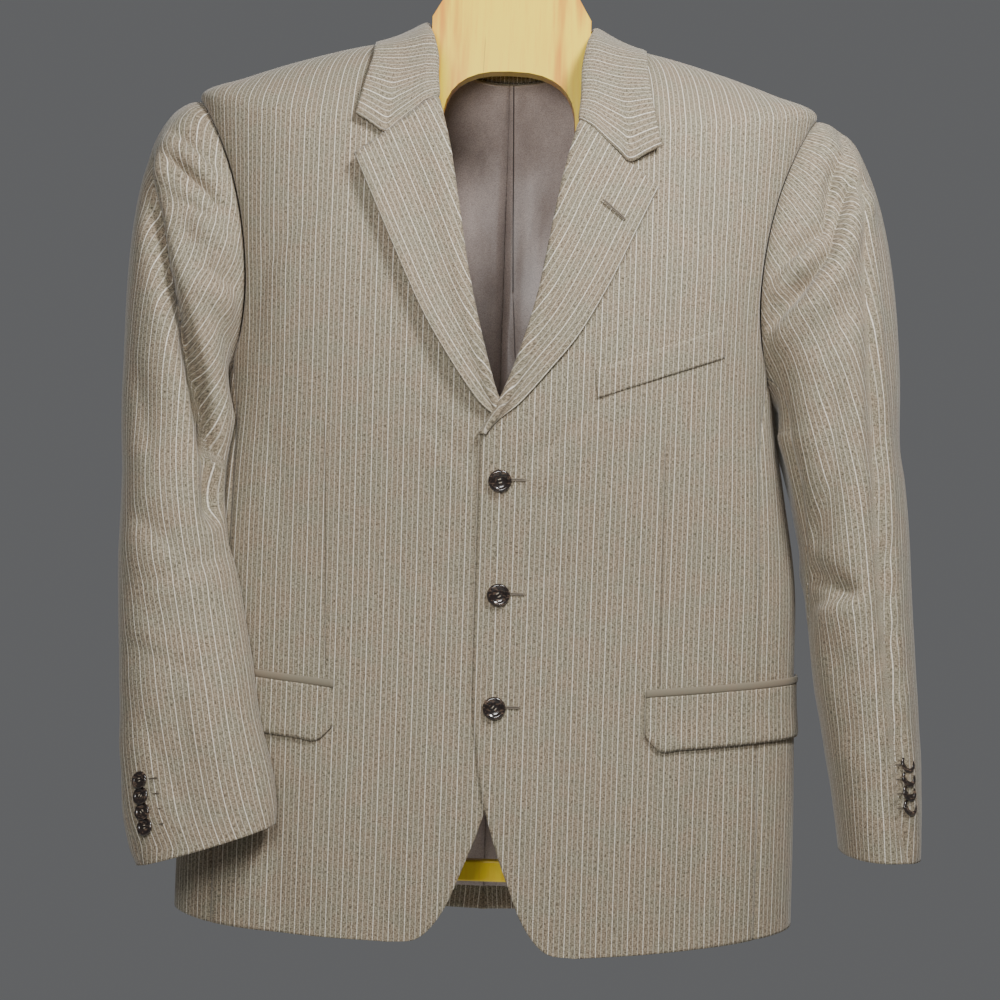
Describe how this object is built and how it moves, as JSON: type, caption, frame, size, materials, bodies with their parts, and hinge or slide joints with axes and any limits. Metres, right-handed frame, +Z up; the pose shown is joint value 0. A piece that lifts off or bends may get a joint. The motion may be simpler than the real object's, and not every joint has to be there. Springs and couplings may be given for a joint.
{
  "type": "three-button blazer on a wooden torso-form hanger",
  "caption": "Single-breasted notch-lapel blazer with flap pockets and a breast welt, filled out by a wooden torso-form hanger that hangs from a metal hook.",
  "frame": {"origin": "the hook's seat: the underside of the wire's top, where it rests on a rod, on the centre plane", "axes": "+Z up; +X to the wearer's left, which is the right of a front view; +Y towards the back, so the front faces -Y"},
  "size_m": [0.6814, 0.2394, 0.8849],
  "materials": {
    "wool": "fine worsted wool in warm grey-beige with a thin pale pinstripe, matt",
    "lining": "taupe satin lining with a soft sheen",
    "horn": "polished very dark brown, horn-like",
    "wood": "pale softwood under clear varnish",
    "steel": "bright plated wire"
  },
  "bodies": {
    "root": {"back_left": "wool", "back_right": "wool", "breast_welt": "wool", "button_cuff_left_1": "horn", "button_cuff_left_2": "horn", "button_cuff_left_3": "horn", "button_cuff_left_4": "horn", "button_cuff_right_1": "horn", "button_cuff_right_2": "horn", "button_cuff_right_3": "horn", "button_cuff_right_4": "horn", "button_front_1": "horn", "button_front_2": "horn", "button_front_3": "horn", "collar": "wool", "flap_left": "wool", "flap_right": "wool", "front_left": "wool", "front_right": "wool", "hanger_arm_left": "wood", "hanger_arm_right": "wood", "hanger_bar": "wood", "hanger_hook": "steel", "hanger_neck": "wood", "hanger_rail_left": "wood", "hanger_rail_right": "wood", "jet_left": "wool", "jet_right": "wool", "lapel_left": "wool", "lapel_right": "wool", "lining_left": "lining", "lining_right": "lining", "side_left": "wool", "side_right": "wool", "sleeve_under_left": "wool", "sleeve_under_right": "wool", "sleeve_upper_left": "wool", "sleeve_upper_right": "wool"}
  },
  "joints": []
}
